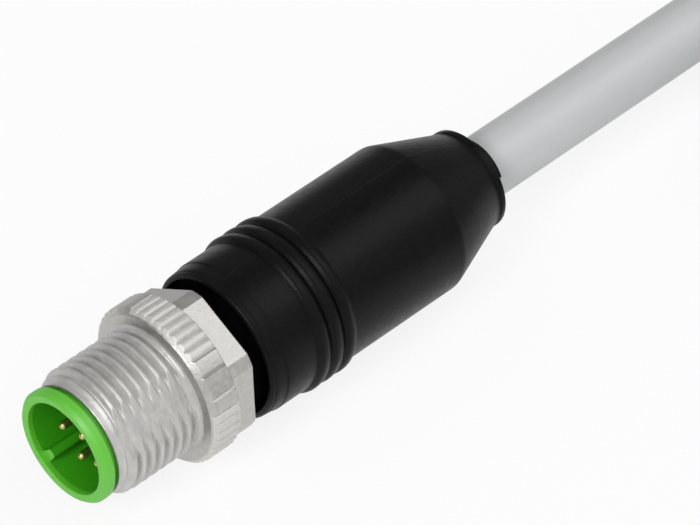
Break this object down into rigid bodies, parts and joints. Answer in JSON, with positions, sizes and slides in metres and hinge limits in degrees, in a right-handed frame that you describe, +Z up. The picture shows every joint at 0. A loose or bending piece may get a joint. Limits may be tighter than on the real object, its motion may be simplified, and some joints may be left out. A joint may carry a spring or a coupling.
{
  "type": "circular connector plug",
  "caption": "M12 male circular plug, moulded on a light grey cable, with a knurled nickel coupling screw and a green contact carrier.",
  "frame": {"origin": "centre of the contact carrier's mating face, on the plug's axis", "axes": "-X out of the mating face towards the mating socket, +X along the plug towards the cable, +Z up"},
  "size_m": [0.1545, 0.1036, 0.0153],
  "materials": {
    "carrier_green": "moulded green plastic, slight sheen",
    "contact_gold": "gold plated, smooth",
    "screw_nickel": "die-cast, satin nickel plated",
    "inner_mould_grey": "moulded, dull",
    "grip_black": "moulded soft plastic, matt with a fine grain",
    "core_white": "extruded insulation, bare tinned strand at both ends",
    "core_brown": "extruded insulation, bare tinned strand at both ends",
    "core_green": "extruded insulation, bare tinned strand at both ends",
    "core_yellow": "extruded insulation, bare tinned strand at both ends",
    "core_grey": "extruded insulation, bare tinned strand at both ends",
    "core_pink": "extruded insulation, bare tinned strand at both ends",
    "core_blue": "extruded insulation, bare tinned strand at both ends",
    "core_red": "extruded insulation, bare tinned strand at both ends",
    "jacket_grey": "extruded jacket, light grey, satin",
    "tie_black": "moulded strap, matt"
  },
  "bodies": {
    "root": {"contact_carrier": "carrier_green", "contact_pin_1": "contact_gold", "contact_pin_2": "contact_gold", "contact_pin_3": "contact_gold", "contact_pin_4": "contact_gold", "contact_pin_5": "contact_gold", "contact_pin_6": "contact_gold", "contact_pin_7": "contact_gold", "contact_pin_8": "contact_gold", "inner_mould": "inner_mould_grey", "grip_body": "grip_black", "core_white": "core_white", "core_brown": "core_brown", "core_green": "core_green", "core_yellow": "core_yellow", "core_grey": "core_grey", "core_pink": "core_pink", "core_blue": "core_blue", "core_red": "core_red", "cable_root": "jacket_grey", "cable_run": "jacket_grey", "cable_coil": "jacket_grey", "cable_tail": "jacket_grey", "coil_tie": "tie_black"},
    "coupling_screw": {"coupling_screw": "screw_nickel"}
  },
  "joints": [
    {"name": "coupling_turn", "type": "hinge", "parent": "root", "child": "coupling_screw", "pos_m": [0.0087, 0, 0], "axis": [1, 0, 0], "continuous": true}
  ]
}
